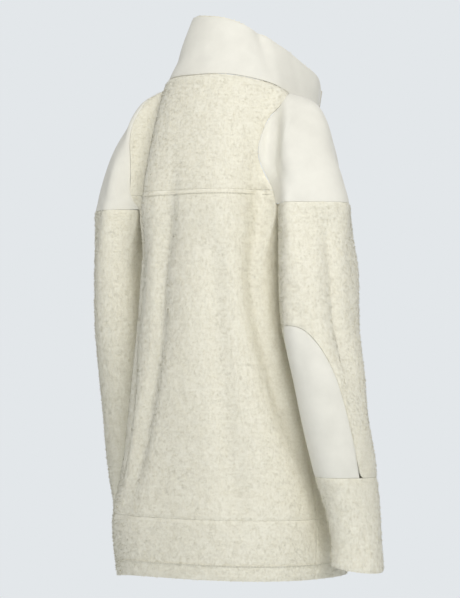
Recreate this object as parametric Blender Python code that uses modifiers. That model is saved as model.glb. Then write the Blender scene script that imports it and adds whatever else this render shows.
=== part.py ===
"""Sherpa zip jacket, worn open at the neck: a hollow garment of separate cut pieces.

Metres, +Z up. The front faces -Y and the wearer's left side is +X. The origin is the middle of the
neck seam, at the height of its back. The surface is worked out in three parts: the yoke, a dome from
the neck seam down to the armpits; the body below them, in level sections; and the two sleeves, in
sections along each arm. Every cut piece is a patch of one of these, with its own thickness.
"""

import math

import bmesh
import bpy
import numpy as np

NAME = "sherpa_zip_jacket"

# ---- cloth ----
FLEECE = 0.004
WOVEN = 0.002
SEAM_GAP = 0.00034
CAP_GAP = SEAM_GAP * 3  # round the caps, whose seams curve most
PATCH_GAP = SEAM_GAP * 2

# ---- heights, down from the neck seam at the back ----
ARMPIT_Z = -0.206
BAND_SEAM_Z = -0.695
HEM_Z = -0.789
ELBOW_SEAM_Z = -0.627
YOKE_SEAM = 0.885  # where the cross seam lies between the neck seam (0) and the armpits (1)

# ---- places round the body, in degrees of turn from the middle of the back ----
RAGLAN_BACK = 65
RAGLAN_FRONT = 115  # on the yoke
ARM_FRONT = 103  # the same corner, on the body below
SIDE_SEAM = 84
# The back raglan seams curve: from behind the shoulder in towards the back, then out to the armpit.
RAGLAN_SEAM = {
    # drop, turn
    "left": ((0.0, 80), (0.1, 76), (0.3, 75), (0.5, 73), (0.7, 71), (0.9, 69), (1.0, RAGLAN_BACK)),
    "right": ((0.0, 80), (0.1, 74), (0.28, 60), (0.45, 54), (0.66, 53), (0.8, 61), (0.9, 65), (1.0, RAGLAN_BACK)),
}
RAGLAN_NECK = 80
ARM_SIDE_DIP = 0.002
ARM_CLEAR = 0.0012  # from the body to the sleeve, in the middle of the armpit

# The yoke: the neck seam, and the outline at the armpits that it spreads out to.
YOKE = (
    # turn, neck_x, neck_y, neck_z, armpit_x, armpit_y
    (0, 0.000, 0.100, 0.000, 0.000, 0.147),
    (35, 0.066, 0.080, -0.003, 0.084, 0.134),
    (65, 0.108, 0.028, -0.020, 0.139, 0.072),
    (78, 0.112, 0.008, -0.030, 0.185, 0.103),
    (90, 0.113, -0.010, -0.038, 0.236, 0.035),
    (102, 0.112, -0.028, -0.047, 0.190, -0.043),
    (115, 0.111, -0.045, -0.056, 0.138, -0.025),
    (145, 0.104, -0.082, -0.070, 0.088, -0.103),
    (180, 0.078, -0.115, -0.085, 0.009, -0.124),
)
SPREAD_BACK = 0.80  # how early the yoke spreads on its way down: at the back
SPREAD_FRONT = 1.05  # and at the front
SHOULDER_WIDTH_DEG = 36
# The wearer's left shoulder is carried higher and further out than the right.
SHOULDERS = {
    "left": {"spread": 0.29, "raised": 0.019, "out": 0.016},
    "right": {"spread": 0.34, "raised": 0.003, "out": 0.007},
}
RAISED_WIDTH_DEG = 38
HEM_DROP = 0.008  # the hem hangs lower at the left side of the back
HEM_DROP_TURN = 62
HEM_DROP_WIDTH_DEG = 28

# The body: level sections, each a rounded box.
BODY = (
    # z, middle_x, middle_y, half_width, half_back, half_front, roundness
    (-0.20, 0.000, 0.008, 0.124, 0.139, 0.128, 2.9),
    (-0.28, 0.000, 0.008, 0.124, 0.140, 0.128, 2.9),
    (-0.36, 0.002, 0.008, 0.130, 0.140, 0.132, 2.8),
    (-0.44, 0.005, 0.006, 0.143, 0.140, 0.138, 2.7),
    (-0.52, 0.008, 0.002, 0.158, 0.142, 0.146, 2.6),
    (-0.60, 0.012, -0.004, 0.175, 0.145, 0.155, 2.5),
    (-0.66, 0.016, -0.007, 0.188, 0.147, 0.160, 2.4),
    (-0.70, 0.018, -0.008, 0.194, 0.148, 0.163, 2.4),
    (-0.80, 0.018, -0.010, 0.188, 0.143, 0.160, 2.4),
)
SETTLE = 0.11  # length below the armpits over which body and sleeves take their own sections
ZIP_HALF = 0.009  # from the middle of the front to each front's edge

# The sleeves: sections along each arm. x is out from the body's middle.
SLEEVE_RIGHT = (
    # z, x, y, half_across, half_deep
    (-0.20, 0.187, 0.031, 0.054, 0.077),
    (-0.26, 0.188, 0.032, 0.054, 0.078),
    (-0.34, 0.192, 0.034, 0.055, 0.078),
    (-0.40, 0.197, 0.036, 0.055, 0.076),
    (-0.47, 0.214, 0.036, 0.052, 0.068),
    (-0.52, 0.221, 0.034, 0.050, 0.063),
    (-0.58, 0.229, 0.028, 0.048, 0.057),
    (-0.63, 0.234, 0.020, 0.045, 0.052),
    (-0.67, 0.239, 0.012, 0.041, 0.046),
    (-0.72, 0.241, 0.004, 0.038, 0.041),
    (-0.79, 0.238, -0.004, 0.042, 0.043),
)
SLEEVE_LEFT = (
    # z, x, y, half_across, half_deep
    (-0.20, 0.194, 0.022, 0.054, 0.077),
    (-0.26, 0.195, 0.020, 0.054, 0.078),
    (-0.34, 0.196, 0.015, 0.054, 0.078),
    (-0.40, 0.203, 0.006, 0.055, 0.076),
    (-0.47, 0.214, -0.008, 0.052, 0.068),
    (-0.52, 0.224, -0.022, 0.050, 0.063),
    (-0.58, 0.238, -0.040, 0.048, 0.057),
    (-0.63, 0.249, -0.054, 0.045, 0.052),
    (-0.67, 0.256, -0.064, 0.041, 0.046),
    (-0.72, 0.263, -0.076, 0.038, 0.041),
    (-0.79, 0.265, -0.088, 0.042, 0.043),
)
# Angle round a sleeve: 0 is away from the body, 90 the back, 180 the body's side.
BACK_CORNER_DEG = 136
FRONT_CORNER_DEG = 232.5
CUFF = {"right": (-0.768, -0.0065), "left": (-0.772, -0.004)}  # height, and rise towards the body

PATCH = {"right": 98, "left": 204}  # where each sleeve's elbow patch is centred, in those degrees
PATCH_HALF_DEG = 75
PATCH_HEIGHT = 0.232
PATCH_ROUND = 3

# ---- folds ----
# On the body: a soft trough that runs down it, its place given in turn at the top, middle and foot.
BODY_FOLDS = (
    # top_z, foot_z, turn_top, turn_middle, turn_foot, half_width_deg, depth
    (-0.11, -0.74, 5, 11, 36, 7, 0.007),  # from the left shoulder blade to the left of the hem
    (-0.16, -0.70, 30, 32, 52, 15, 0.013),  # the flat drawn between that one and the left arm
    (-0.20, -0.76, -24, -29, -35, 9, 0.006),
    (-0.10, -0.66, -52, -60, -80, 8, 0.009),  # beside the right arm
    (-0.30, -0.78, 140, 138, 132, 9, 0.008),
    (-0.24, -0.74, -146, -136, -128, 10, 0.009),
    (-0.42, -0.78, 112, 108, 104, 9, 0.007),
)
# On the sleeves.
SLEEVE_FOLDS = {
    "right": (
        # top_z, foot_z, angle_top, angle_middle, angle_foot, half_width_deg, depth
        (-0.20, -0.50, 34, 28, 14, 11, 0.006),
        (-0.22, -0.46, 112, 124, 132, 16, 0.006),
        (-0.30, -0.60, -62, -48, -40, 15, 0.007),
    ),
    "left": (
        (-0.21, -0.52, 20, 12, -8, 13, 0.006),
        (-0.24, -0.56, -66, -58, -40, 15, 0.007),
        (-0.26, -0.50, 150, 158, 170, 14, 0.005),
    ),
}
# On the caps: creases that fan out from the neck.
CAP_FOLDS = (
    # turn, half_width_deg, depth
    (73.5, 2.6, 0.005),
    (84.0, 2.4, 0.006),
    (97.0, 3.0, 0.005),
)

# ---- collar ----
COLLAR = (
    # turn, height, lean_in_deg
    (-180, 0.074, -8),
    (-115, 0.080, 6),
    (-65, 0.086, 19),
    (-35, 0.094, 21),
    (0, 0.100, 19),
    (35, 0.104, 20),
    (65, 0.106, 20),
    (115, 0.096, 6),
    (180, 0.082, -10),
)
COLLAR_CREASES = (
    # turn, half_width_deg, depth
    (-60, 8, 0.008),
    (50, 10, 0.005),
)
COLLAR_APART = 0.0014  # between its two layers
COLLAR_INNER = 0.0035
COLLAR_ROLL = 0.035  # how far the fleece stands above the woven outside, as a share of its height
COLLAR_SEAM = 0.008  # where the woven outside starts
COLLAR_FOOT = 0.04  # and where the fleece starts

# ---- zip ----
TAPE_DEPTH = 0.0014  # from the fronts' outside in to the tape's face
TAPE = 0.0012
TAPE_GAP = 0.0009
TAPE_WIDTH = 0.0086
TEETH_WIDTH = 0.0030
TEETH_PROUD = 0.0009
TEETH_BACK = 0.0004
SLIDER_PLATE = (0.0110, 0.0020, 0.0130)
SLIDER_Z = -0.2150
LUG = (0.0014, 0.0040, 0.0040)
LUG_APART = 0.0080  # between the lugs' middles
PIN_RADIUS = 0.0006
PIN_OUT = 0.0026  # from the plate's face to the pin
PIN_UP = 0.0035  # above the plate's middle
EYE_RADIUS = 0.0019
EYE_WIDTH = 0.0056
PULL_TAB = (0.0090, 0.0018, 0.0240)
PULL_NECK = (0.0050, 0.0018, 0.0060)
CLEARANCE = 0.0003

# ---- fineness ----
YOKE_ROWS = 8
BODY_ROWS = 15
BAND_ROWS = 3
BACK_COLUMNS = 16  # between the raglan seams
ARM_COLUMNS = 3  # from a raglan seam to a side seam
FRONT_COLUMNS = 8
CAP_COLUMNS = 12
SLEEVE_ROWS = 14
FOREARM_ROWS = 5
PATCH_COLUMNS = 12
PATCH_ROWS = 6
PLAIN_COLUMNS = 10
COLLAR_ROWS = 4
CAP_TO_COLLAR = 2  # the cap's columns to one of the collar's

SIDES = {"left": 1.0, "right": -1.0}


# ---------------------------------------------------------------- surfaces
def track(table):
    """The columns of a table as one smooth function of its first column."""
    rows = np.array(table, float)
    keys = rows[:, 0]
    values = rows[:, 1:]
    slopes = np.gradient(values, keys, axis=0)

    def at(key):
        key = np.clip(key, keys[0], keys[-1])
        i = int(np.clip(np.searchsorted(keys, key, side="right") - 1, 0, len(keys) - 2))
        step = keys[i + 1] - keys[i]
        u = (key - keys[i]) / step
        start = (1 + 2 * u) * (1 - u) ** 2 * values[i] + u * (1 - u) ** 2 * step * slopes[i]
        end = u * u * (3 - 2 * u) * values[i + 1] + u * u * (u - 1) * step * slopes[i + 1]
        return start + end

    return at


def mirrored(table, flipped):
    """Rows given for one side, as rows right round: the turn and the columns named change sign."""
    sign = np.ones(len(table[0]))
    sign[[0, *flipped]] = -1
    other = [tuple(np.array(row) * sign) for row in reversed(table[1:])]
    return (*other, *table)


even_yoke = track(mirrored(YOKE, (1, 4)))
body_section = track([(-row[0], *row[1:]) for row in BODY])
sleeve_section = {
    "right": track([(-row[0], *row[1:]) for row in SLEEVE_RIGHT]),
    "left": track([(-row[0], *row[1:]) for row in SLEEVE_LEFT]),
}
collar_shape = track(COLLAR)
raglan_seam = {side: track(table) for side, table in RAGLAN_SEAM.items()}


def blend(a, b, amount):
    return a + (b - a) * amount


def soft_step(amount):
    amount = min(max(amount, 0.0), 1.0)
    return amount * amount * (3 - 2 * amount)


def bump(distance, half_width):
    """1 on a fold's line, falling softly to nothing."""
    return math.exp(-((distance / half_width) ** 2))


def turn_between(a, b):
    return (a - b + 180) % 360 - 180


def fold_depth(folds, z, turn):
    """How far the cloth is pressed in here by the folds of one table."""
    total = 0.0
    for top_z, foot_z, turn_top, turn_middle, turn_foot, half_width, depth in folds:
        along = (top_z - z) / (top_z - foot_z)
        if not 0 < along < 1:
            continue
        centre = blend(
            blend(turn_top, turn_middle, along * 2) if along < 0.5 else turn_middle,
            turn_foot,
            max(0.0, along * 2 - 1),
        )
        strength = soft_step(along * 4) * soft_step((1 - along) * 4)
        total += depth * strength * bump(turn_between(turn, centre), half_width)
    return total


def pressed_in(point, middle, depth):
    """A point moved level towards the middle of its section."""
    away = point[:2] - middle
    return np.array([*(point[:2] - away / np.linalg.norm(away) * depth), point[2]])


def side_of(turn):
    return "left" if turn >= 0 else "right"


def yoke_loops(turn):
    """The neck seam's point and the armpit outline's here, with each shoulder as it is carried."""
    neck_x, neck_y, neck_z, armpit_x, armpit_y = even_yoke(turn)
    carried = SHOULDERS[side_of(turn)]
    neck_z += carried["raised"] * bump(abs(turn) - 90, RAISED_WIDTH_DEG)
    reach = soft_step(1 - abs(abs(turn) - 90) / (RAGLAN_FRONT - 90))
    return neck_x, neck_y, neck_z, armpit_x + math.copysign(carried["out"], turn) * reach, armpit_y


def dome(turn, drop):
    """The yoke: drop is 0 at the neck seam and 1 at the armpits."""
    neck_x, neck_y, neck_z, armpit_x, armpit_y = yoke_loops(turn)
    drop = max(drop, 0.0)
    at_shoulder = bump(abs(turn) - 90, SHOULDER_WIDTH_DEG)
    middle = SPREAD_BACK if abs(turn) < 90 else SPREAD_FRONT
    spread = drop ** blend(middle, SHOULDERS[side_of(turn)]["spread"], at_shoulder)
    point = np.array(
        [
            blend(neck_x, armpit_x, spread),
            blend(neck_y, armpit_y, spread),
            blend(neck_z, ARMPIT_Z, drop),
        ]
    )
    depth = fold_depth(BODY_FOLDS, point[2], turn)
    for place, half_width, most in CAP_FOLDS:
        strength = soft_step(drop * 3) * most
        depth += strength * bump(abs(turn) - place, half_width)
    return pressed_in(point, np.array([0.0, 0.02]), depth)


def armpit_line(along):
    """The line under the arm, from the back corner (0) to the front one (1), for the left side."""
    back = even_yoke(RAGLAN_BACK)[3:5]
    front = even_yoke(RAGLAN_FRONT)[3:5]
    x, y = blend(back, front, along)
    return x - ARM_SIDE_DIP * math.sin(math.pi * along), y


def body_top(turn):
    """The body's outline at the armpits."""
    side = 1.0 if turn >= 0 else -1.0
    turn = abs(turn)
    if turn <= RAGLAN_BACK:
        x, y = even_yoke(turn)[3:5]
    elif turn < ARM_FRONT:
        x, y = armpit_line((turn - RAGLAN_BACK) / (ARM_FRONT - RAGLAN_BACK))
    else:
        x, y = even_yoke(yoke_turn(turn))[3:5]
    return side * x, y


def yoke_turn(turn):
    """The yoke's turn that meets the body's at the armpits, on the back or the front."""
    if abs(turn) <= RAGLAN_BACK:
        return turn
    share = (abs(turn) - ARM_FRONT) / (180 - ARM_FRONT)
    return math.copysign(blend(RAGLAN_FRONT, 180, share), turn)


def on_yoke(turn, drop):
    """The yoke's turn for a column of the body. The back's columns spread out to the raglan seam."""
    if abs(turn) > RAGLAN_BACK:
        return yoke_turn(turn)
    return turn * raglan_seam[side_of(turn)](drop)[0] / RAGLAN_BACK


def rounded_power(value, power):
    return math.copysign(abs(value) ** power, value)


def body(turn, z):
    """The body below the armpits."""
    middle_x, middle_y, half_width, half_back, half_front, roundness = body_section(-z)
    side = 1.0 if turn >= 0 else -1.0
    angle = math.radians(abs(turn))
    power = 2 / roundness
    across = rounded_power(math.sin(angle), power)
    along = rounded_power(math.cos(angle), power)
    edge = ZIP_HALF if abs(turn) > 90 else 0.0
    half_deep = half_back if along > 0 else half_front
    own = np.array(
        [
            middle_x + side * (edge + (half_width - edge) * across),
            middle_y + half_deep * along,
        ]
    )
    settled = soft_step((ARMPIT_Z - z) / SETTLE)
    point = np.array([*blend(np.array(body_top(turn)), own, settled), z])
    return pressed_in(point, np.array([middle_x, 0.0]), fold_depth(BODY_FOLDS, z, turn))


def sleeve(side, angle, z):
    """A sleeve below the armpit."""
    x, y, half_across, half_deep = sleeve_section[side](-z)
    sign = SIDES[side]
    angle = (angle + 180) % 360 - 180
    turned = math.radians(angle)
    own = np.array([x + half_across * math.cos(turned), y + half_deep * math.sin(turned)])
    round_back = angle % 360
    if BACK_CORNER_DEG < round_back < FRONT_CORNER_DEG:
        along = (round_back - BACK_CORNER_DEG) / (FRONT_CORNER_DEG - BACK_CORNER_DEG)
        top = np.array(armpit_line(along)) + [ARM_CLEAR * math.sin(math.pi * along), 0]
    else:
        span = BACK_CORNER_DEG - (FRONT_CORNER_DEG - 360)
        along = (BACK_CORNER_DEG - angle) / span
        armpit_x, armpit_y = yoke_loops(sign * blend(RAGLAN_BACK, RAGLAN_FRONT, along))[3:5]
        top = np.array([sign * armpit_x, armpit_y])
    settled = soft_step((ARMPIT_Z - z) / SETTLE)
    point = np.array([*blend(top, own, settled), z])
    middle = np.array([x, y])
    depth = fold_depth(SLEEVE_FOLDS[side], z, angle)
    for place, half_width, most in CAP_FOLDS:
        share = (place - RAGLAN_BACK) / (RAGLAN_FRONT - RAGLAN_BACK)
        centre = BACK_CORNER_DEG - share * (360 - FRONT_CORNER_DEG + BACK_CORNER_DEG)
        fade = 1 - soft_step((ARMPIT_Z - z) / (SETTLE * 1.5))
        depth += most * fade * bump(turn_between(angle, centre), half_width * 4)
    point = pressed_in(point, middle, depth)
    return point * np.array([sign, 1, 1])


def collar(turn, share):
    """The collar's outside: share is 0 at the neck seam and 1 at its top edge."""
    neck_x, neck_y, neck_z = yoke_loops(turn)[:3]
    height, lean = collar_shape(turn)
    base = np.array([neck_x, neck_y])
    inward = -base / np.linalg.norm(base)
    lean = math.radians(lean)
    level = base + inward * height * share * math.sin(lean)
    point = np.array([*level, neck_z + height * share * math.cos(lean)])
    depth = 0.0
    for place, half_width, most in COLLAR_CREASES:
        depth += most * bump(turn - place, half_width) * share
    return pressed_in(point, np.zeros(2), depth)


# ---------------------------------------------------------------- panels
class Patch:
    """A cut piece as a sheet of four-sided faces: its outer points, and the way out at each."""

    def __init__(self):
        self.points = []
        self.normals = []
        self.faces = []
        self.index = {}

    def point(self, key, position, normal):
        if key not in self.index:
            self.index[key] = len(self.points)
            self.points.append(position)
            self.normals.append(normal / np.linalg.norm(normal))
        return self.index[key]


def facing(surface, u, v, step_u, step_down):
    """The way out of a surface at a point, from its neighbours to each side."""
    across = surface(u + step_u, v) - surface(u - step_u, v)
    down = surface(u, v + step_down) - surface(u, v - step_down)
    return np.cross(across, down)


def sheet(rows):
    """A patch from rows of (key, position, normal); neighbouring rows share their columns' keys."""
    patch = Patch()
    for upper, lower in zip(rows, rows[1:]):
        below = {entry[0][1]: entry for entry in lower}
        for left, right in zip(upper, upper[1:]):
            corners = (left, below.get(left[0][1]), below.get(right[0][1]), right)
            if None in corners:
                continue
            patch.faces.append([patch.point(*corner) for corner in corners])
    return patch


def edge_loops(faces):
    """Each edge that only one face has, as (from, to) in that face's order."""
    once = {}
    for face in faces:
        for a, b in zip(face, face[1:] + face[:1]):
            if (b, a) in once:
                del once[b, a]
            else:
                once[a, b] = face
    return once


def drawn_in(patch, gap):
    """Moves the patch's edges in by half a seam gap, so that its neighbours are a gap away."""
    points = np.array(patch.points)
    pulls = {}
    for (a, b), face in edge_loops(patch.faces).items():
        along = points[b] - points[a]
        along = along / np.linalg.norm(along)
        inward = points[face].mean(axis=0) - points[a]
        inward = inward - along * inward.dot(along)
        for corner in (a, b):
            pulls.setdefault(corner, []).append(inward / np.linalg.norm(inward))
    moved = points.copy()
    for corner, ways in pulls.items():
        way = np.sum(ways, axis=0)
        share = 1.0 if len(ways) == 1 else 1 + ways[0].dot(ways[1])
        moved[corner] += way / max(share, 0.4) * gap / 2
    return moved


def cloth(name, patch, wall, look, gap=SEAM_GAP, lift=0.0):
    """A closed wall on a patch: its outside, its inside a wall's thickness in, and its cut edges."""
    normals = np.array(patch.normals)
    outer = drawn_in(patch, gap) + normals * lift
    inner = outer - normals * wall
    count = len(outer)
    faces = [list(face) for face in patch.faces]
    faces += [[i + count for i in reversed(face)] for face in patch.faces]
    faces += [[b, a, a + count, b + count] for a, b in edge_loops(patch.faces)]
    return solid(name, np.vstack([outer, inner]), faces, look)


def solid(name, points, faces, look):
    mesh = bpy.data.meshes.new(name)
    mesh.from_pydata([tuple(p) for p in points], [], faces)
    mesh.validate()
    fixed = bmesh.new()
    fixed.from_mesh(mesh)
    bmesh.ops.recalc_face_normals(fixed, faces=fixed.faces)
    fixed.to_mesh(mesh)
    fixed.free()
    mesh.shade_smooth()
    mesh.set_sharp_from_angle(angle=math.radians(50))
    obj = bpy.data.objects.new(name, mesh)
    obj.data.materials.append(look)
    jacket.objects.link(obj)
    return obj


def steps(start, end, count):
    return [blend(start, end, i / count) for i in range(count + 1)]


# ---------------------------------------------------------------- pieces
def level(normal):
    """A way out with no rise, for edges that meet at one height."""
    return np.array([normal[0], normal[1], 0.0])


def dome_entry(turn, body_turn, drop):
    normal = facing(dome, turn, drop, 0.5, 0.01)
    if drop == 0:
        normal[2] = max(normal[2], 0.0)
    return ((("dome", round(drop, 5)), round(body_turn, 4)), dome(turn, drop), normal)


def body_entry(turn, z):
    """A point of the body. On the armpits' level, the corners face out between back and side."""
    normal = facing(body, turn, z, 0.5, -0.004)
    if z >= ARMPIT_Z - 1e-6:
        normal = level(np.cross(body(turn + 0.5, z) - body(turn - 0.5, z), [0, 0, -1.0]))
        if abs(turn) <= RAGLAN_BACK - 1 or abs(turn) > ARM_FRONT + 1:
            normal = facing(dome, yoke_turn(turn), 1.0, 0.5, 0.01)
        elif abs(abs(turn) - RAGLAN_BACK) < 1:
            normal = np.array([math.copysign(0.6, turn), 0.8, 0.0])
        elif abs(abs(turn) - ARM_FRONT) < 1:
            normal = np.array([math.copysign(0.6, turn), -0.8, 0.0])
    return ((("body", round(z, 5)), round(turn, 4)), body(turn, z), normal)


def hanging(turn, z):
    """A level of the body, with the hem's drop let into the band."""
    share = max(0.0, (BAND_SEAM_Z - z) / (BAND_SEAM_Z - HEM_Z))
    return z - HEM_DROP * share * bump(turn - HEM_DROP_TURN, HEM_DROP_WIDTH_DEG)


def rows_of(drops, levels, turns, yoke_turns):
    """Rows of a body panel: its part on the yoke, then its part below."""
    rows = []
    for drop in drops:
        rows.append([dome_entry(on_yoke(turn, drop), turn, drop) for turn in yoke_turns])
    for z in levels:
        rows.append([body_entry(turn, hanging(turn, z)) for turn in turns])
    return rows


def keyed(rows):
    """Entries with keys (row, column), so that rows of different lengths share columns."""
    return [
        [((i, column), position, normal) for ((_, column), position, normal) in row]
        for i, row in enumerate(rows)
    ]


def yoke_drops():
    """The yoke's rows, closer together near the neck seam, down to the cross seam."""
    return [YOKE_SEAM * s * s for s in steps(0, 1, YOKE_ROWS)]


def make_back_and_fronts():
    back_turns = steps(-RAGLAN_BACK, RAGLAN_BACK, BACK_COLUMNS)
    arm_turns = steps(RAGLAN_BACK, SIDE_SEAM, ARM_COLUMNS)[1:]
    wide_turns = [-t for t in reversed(arm_turns)] + back_turns + arm_turns
    rows = rows_of(yoke_drops(), [], [], back_turns)
    cloth("back_yoke", sheet(keyed(rows)), FLEECE, looks["fleece"])
    low = steps(ARMPIT_Z, BAND_SEAM_Z, BODY_ROWS)
    band = steps(BAND_SEAM_Z, HEM_Z, BAND_ROWS)
    rows = rows_of([YOKE_SEAM], low, wide_turns, back_turns)
    cloth("back", sheet(keyed(rows)), FLEECE, looks["fleece"])
    rows = rows_of([], band, wide_turns, [])
    cloth("hem_band_back", sheet(keyed(rows)), FLEECE, looks["fleece"])

    for side, sign in SIDES.items():
        chest = [sign * t for t in steps(ARM_FRONT, 180, FRONT_COLUMNS)]
        wide = [sign * t for t in steps(SIDE_SEAM, ARM_FRONT, ARM_COLUMNS)[:-1]] + chest
        if side == "right":
            chest.reverse()
            wide.reverse()
        rows = rows_of(yoke_drops(), low, wide, chest)
        cloth(f"front_{side}", sheet(keyed(rows)), FLEECE, looks["fleece"])
        rows = rows_of([], band, wide, [])
        cloth(f"hem_band_{side}", sheet(keyed(rows)), FLEECE, looks["fleece"])


def make_cap(side):
    """The shoulder cap: from the neck seam between the raglan seams down to the sleeve."""
    rows = []
    for drop in [*yoke_drops(), 1.0]:
        row = []
        seam = raglan_seam[side](drop)[0]
        for column, turn in enumerate(steps(seam, RAGLAN_FRONT, CAP_COLUMNS)):
            turn *= SIDES[side]
            normal = facing(dome, turn, drop, 0.5, 0.01)
            if drop == 1:
                normal = level(normal)
            row.append(((0, column), dome(turn, drop), normal))
        rows.append(row if side == "left" else row[::-1])
    cloth(f"shoulder_cap_{side}", sheet(keyed(rows)), WOVEN, looks["woven"], gap=CAP_GAP)


def patch_arch(offset):
    """Height of the elbow patch's arch, this many degrees from its middle."""
    return ELBOW_SEAM_Z + PATCH_HEIGHT * (1 - abs(offset / PATCH_HALF_DEG) ** PATCH_ROUND) ** 0.5


def make_sleeve(side):
    surface = lambda angle, z: sleeve(side, angle, z)
    centre = PATCH[side]
    offsets = [
        PATCH_HALF_DEG * math.sin(math.radians(a)) for a in steps(-90, 90, PATCH_COLUMNS)
    ]
    inside = [centre + offset for offset in offsets]
    plain = steps(centre + PATCH_HALF_DEG, centre + 360 - PATCH_HALF_DEG, PLAIN_COLUMNS)[1:-1]
    angles = inside + plain
    arch = [patch_arch(offset) for offset in offsets] + [ELBOW_SEAM_Z] * len(plain)
    arch[0] = arch[len(inside) - 1] = ELBOW_SEAM_Z
    order = range(len(angles))

    def entry(row, column, z):
        angle = angles[column]
        normal = facing(surface, angle, z, 0.7, -0.004) * -SIDES[side]
        if z >= ARMPIT_Z - 1e-6:
            tangent = surface(angle + 0.7, z) - surface(angle - 0.7, z)
            normal = level(np.cross([0, 0, 1.0], tangent)) * -SIDES[side]
        return ((row, column), surface(angle, z), normal)

    def ring_of(rows):
        """Closes each row into a ring."""
        patch = Patch()
        for upper, lower in zip(rows, rows[1:]):
            count = len(upper)
            for i in range(count):
                j = (i + 1) % count
                face = [upper[i], lower[i], lower[j], upper[j]]
                if side == "left":
                    face.reverse()
                patch.faces.append([patch.point(*corner) for corner in face])
        return patch

    upper = [
        [entry(i, c, blend(ARMPIT_Z, arch[c], s)) for c in order]
        for i, s in enumerate(steps(0, 1, SLEEVE_ROWS))
    ]
    cloth(f"sleeve_upper_{side}", ring_of(upper), FLEECE, looks["fleece"])

    cuff_z, rise = CUFF[side]
    lower = []
    for i, s in enumerate(steps(0, 1, FOREARM_ROWS)):
        row = []
        for c in order:
            foot = cuff_z + rise * math.cos(math.radians(angles[c]))
            row.append(entry(i, c, blend(ELBOW_SEAM_Z, foot, s)))
        lower.append(row)
    cloth(f"sleeve_lower_{side}", ring_of(lower), FLEECE, looks["fleece"])

    rows = []
    columns = range(len(inside))
    for i, s in enumerate(steps(0, 1, PATCH_ROWS)):
        row = []
        for c in columns:
            if c in (0, len(inside) - 1):
                continue
            row.append(entry(i, c, blend(arch[c], ELBOW_SEAM_Z, s)))
        rows.append(row if side == "right" else row[::-1])
    cloth(f"elbow_patch_{side}", sheet(rows), WOVEN, looks["woven"], gap=PATCH_GAP)


def make_collar():
    half = steps(0, RAGLAN_NECK, BACK_COLUMNS // 2)
    half += steps(RAGLAN_NECK, RAGLAN_FRONT, CAP_COLUMNS // CAP_TO_COLLAR)[1:]
    half += [yoke_turn(turn) for turn in steps(ARM_FRONT, 180, FRONT_COLUMNS)][1:]
    turns = [-turn for turn in reversed(half[1:])] + half
    shares = steps(COLLAR_SEAM, 1, COLLAR_ROWS)
    inner_shares = [COLLAR_FOOT, *shares[1:], 1 + COLLAR_ROLL]
    for name, wall, look, lift, levels in (
        ("collar_outer", WOVEN, "woven", 0.0, shares),
        ("collar_inner", COLLAR_INNER, "fleece", -WOVEN - COLLAR_APART, inner_shares),
    ):
        rows = [
            [
                ((i, turn), collar(turn, share), facing(collar, turn, share, 0.7, -0.02))
                for turn in turns
            ]
            for i, share in enumerate(reversed(levels))
        ]
        cloth(name, sheet(rows), wall, looks[look], lift=lift)


def front_edge(side):
    """The front's edge from the hem to the collar's top: its points, and the ways past it and out."""
    turn = SIDES[side] * 180
    inside = SIDES[side] * 178
    path = [
        (body, z)
        for z in steps(HEM_Z, BAND_SEAM_Z, BAND_ROWS)[:-1] + steps(BAND_SEAM_Z, ARMPIT_Z, BODY_ROWS)
    ]
    path += [(dome, drop) for drop in reversed(yoke_drops())]
    path += [(collar, share) for share in steps(COLLAR_SEAM, 1, COLLAR_ROWS)[1:]]
    points = np.array([surface(turn, at) for surface, at in path])
    along = np.gradient(points, axis=0)
    along /= np.linalg.norm(along, axis=1)[:, None]
    past = points - np.array([surface(inside, at) for surface, at in path])
    closed = [i for i, (surface, _) in enumerate(path) if surface is body]
    past[closed] = [-SIDES[side], 0, 0]
    past -= along * np.sum(past * along, axis=1)[:, None]
    past /= np.linalg.norm(past, axis=1)[:, None]
    return points, past, np.cross(along, past) * SIDES[side]


def make_tape(side):
    """A zip tape with its row of teeth as a bead, along the front's edge."""
    points, past, out = front_edge(side)
    bead = TAPE_WIDTH - TEETH_WIDTH
    face = -TAPE_DEPTH
    section = (
        # past the edge, out
        (TAPE_GAP, face),
        (bead, face),
        (bead, face + TEETH_PROUD),
        (TAPE_WIDTH, face + TEETH_PROUD),
        (TAPE_WIDTH, face - TAPE - TEETH_BACK),
        (bead, face - TAPE - TEETH_BACK),
        (bead, face - TAPE),
        (TAPE_GAP, face - TAPE),
    )
    count = len(section)
    corners = [
        place + way_past * across + way_out * high
        for place, way_past, way_out in zip(points, past, out)
        for across, high in section
    ]
    faces = []
    for start in range(0, (len(points) - 1) * count, count):
        for k in range(count):
            after = (k + 1) % count
            faces.append([start + k, start + after, start + count + after, start + count + k])
    faces.append(list(range(count)))
    faces.append([(len(points) - 1) * count + k for k in range(count)])
    solid(f"zip_tape_{side}", corners, faces, looks["tape"])


def box(name, size, place, home):
    bpy.ops.mesh.primitive_cube_add(size=1, location=place)
    obj = bpy.context.object
    obj.name = obj.data.name = name
    obj.scale = size
    bpy.ops.object.transform_apply(location=False, rotation=False, scale=True)
    return housed(obj, home)


def rod(name, radius, length, place, home):
    """A cylinder across the jacket, along X."""
    bpy.ops.mesh.primitive_cylinder_add(
        vertices=24, radius=radius, depth=length, location=place, rotation=(0, math.pi / 2, 0)
    )
    obj = bpy.context.object
    obj.name = obj.data.name = name
    return housed(obj, home)


def housed(obj, home):
    for collection in list(obj.users_collection):
        collection.objects.unlink(obj)
    home.objects.link(obj)
    if home is helpers:
        obj.hide_render = True
        obj.display_type = "WIRE"
    return obj


def joined(obj, other, operation="UNION"):
    change = obj.modifiers.new(other.name, "BOOLEAN")
    change.operation = operation
    change.object = other
    change.solver = "EXACT"


def softened(obj, width):
    change = obj.modifiers.new("edges", "BEVEL")
    change.width = width
    change.segments = 2
    change.limit_method = "ANGLE"


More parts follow.
